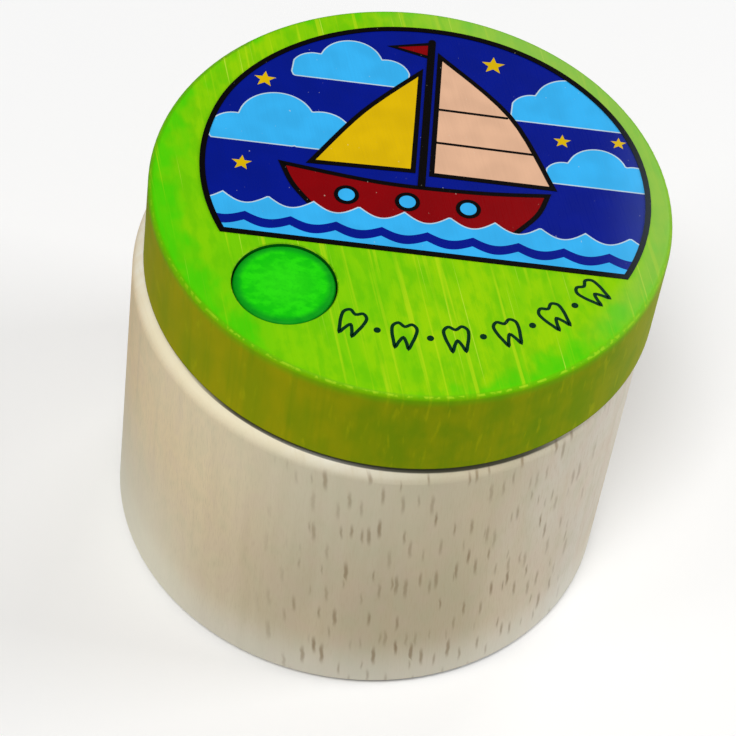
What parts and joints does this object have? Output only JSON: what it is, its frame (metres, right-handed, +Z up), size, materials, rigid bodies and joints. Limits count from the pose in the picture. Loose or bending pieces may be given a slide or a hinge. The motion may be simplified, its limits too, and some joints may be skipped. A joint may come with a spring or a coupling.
{
  "type": "tooth box",
  "caption": "Small round turned wooden keepsake box for baby teeth, with a thick green lid that swings aside on a wooden peg to open a bored cavity.",
  "frame": {"origin": "centre of the round box's flat underside", "axes": "+Z up, along the box's turning axis; -Y towards the front, where the peg is; +X to the right, along the straight base of the lid's print"},
  "size_m": [0.0511, 0.0504, 0.046],
  "materials": {
    "beech": "bare sanded beech, fine pores and short brown flecks",
    "green_lid": "beech stained yellow-green, faint grain, satin",
    "green_peg": "beech stained a deeper green, satin",
    "print_ink": "thin opaque coloured inks printed on the lid, slightly glossy"
  },
  "bodies": {
    "box": {"box_body": "beech", "pivot_peg": "green_peg"},
    "lid": {"swivel_lid": "green_lid"}
  },
  "joints": [
    {"name": "lid_swivel", "type": "hinge", "parent": "box", "child": "lid", "pos_m": [-0.01031, -0.0132, 0.0351], "axis": [0, 0, 1], "continuous": true}
  ]
}
